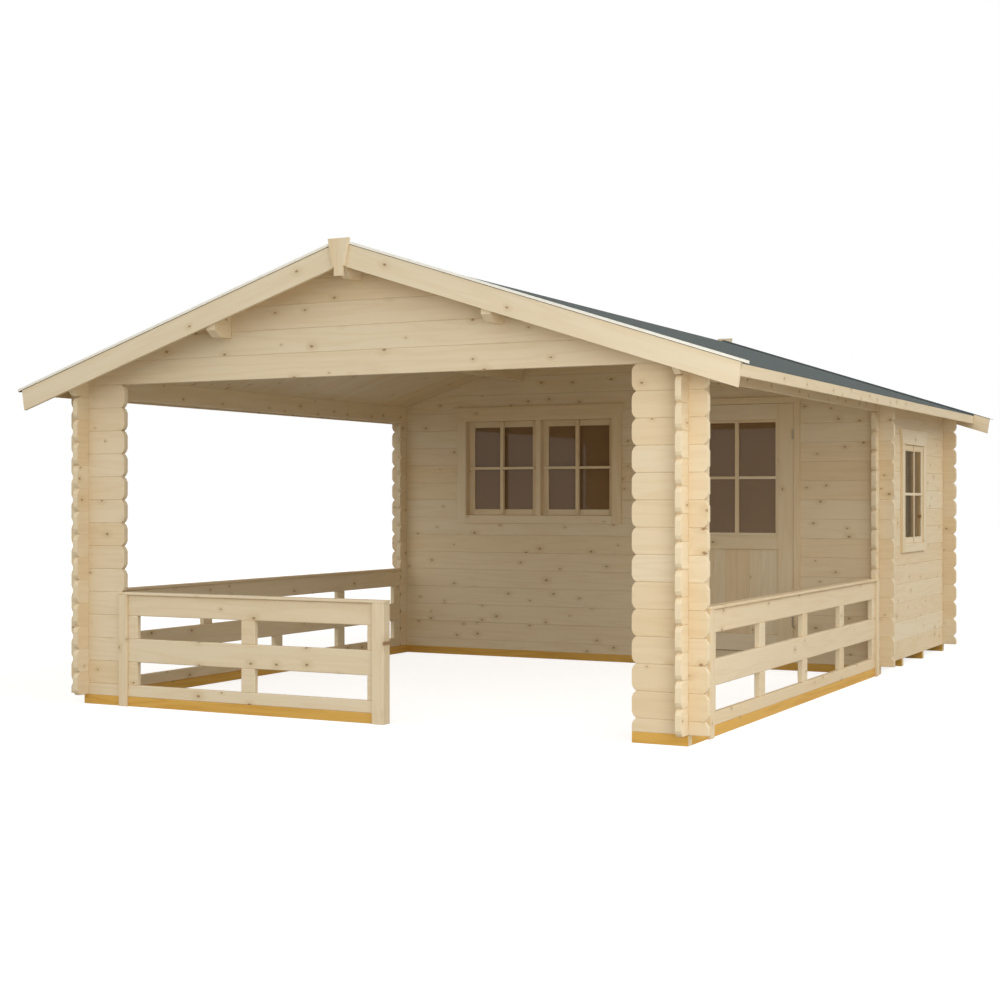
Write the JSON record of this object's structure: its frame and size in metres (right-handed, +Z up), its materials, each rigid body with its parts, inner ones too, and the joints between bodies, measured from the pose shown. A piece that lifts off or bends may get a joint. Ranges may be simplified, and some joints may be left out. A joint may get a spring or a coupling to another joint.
{
  "type": "guest cabin",
  "caption": "Log guest cabin with a wide covered veranda, a felted gable roof, log balustrades, a double window, a side window and a half-glazed door that opens.",
  "frame": {"origin": "middle of the plan on the ground, under the ridge, half way between the front and rear wall faces", "axes": "+X to the right as seen from the veranda, +Y from the veranda to the room, +Z up"},
  "size_m": [4.508, 6.154, 2.5924],
  "materials": {
    "log_timber": "planed, untreated, matt",
    "foundation_timber": "impregnated, matt",
    "roof_felt": "mineral felt, matt",
    "glass": "clear",
    "metal": "satin"
  },
  "bodies": {
    "house": {"balustrade_trims": "log_timber", "barge_boards": "log_timber", "barge_cap": "log_timber", "cabin_front_beam": "foundation_timber", "cabin_front_gable": "log_timber", "cabin_front_sill_log": "log_timber", "cabin_front_wall_left": "log_timber", "cabin_front_wall_right": "log_timber", "cabin_left_wall": "log_timber", "cabin_rear_gable": "log_timber", "cabin_rear_wall": "log_timber", "cabin_right_wall": "log_timber", "door_frame": "log_timber", "double_window_frame": "log_timber", "eave_boards": "log_timber", "finials": "log_timber", "floor_boards": "log_timber", "floor_joists": "foundation_timber", "frame_hinge_halves": "metal", "front_balustrade": "log_timber", "front_beams": "foundation_timber", "front_gable": "log_timber", "front_left_cross_logs": "log_timber", "front_left_side_logs": "log_timber", "front_right_cross_logs": "log_timber", "front_right_side_logs": "log_timber", "left_balustrade": "log_timber", "rail_caps": "log_timber", "ridge_purlin": "log_timber", "right_balustrade": "log_timber", "roof_boards_left": "log_timber", "roof_boards_right": "log_timber", "roof_felt": "roof_felt", "side_beams": "foundation_timber", "side_purlins": "log_timber", "side_window_frame": "log_timber", "wall_plates": "log_timber", "window_glass": "glass", "window_sashes": "log_timber"},
    "door": {"door_leaf": "log_timber", "door_glass": "glass", "door_handle": "metal", "leaf_hinge_halves": "metal"}
  },
  "joints": [
    {"name": "door_hinge", "type": "hinge", "parent": "house", "child": "door", "pos_m": [1.2905, 0.812, 1], "axis": [0, 0, 1], "range_deg": [0, 110]}
  ]
}
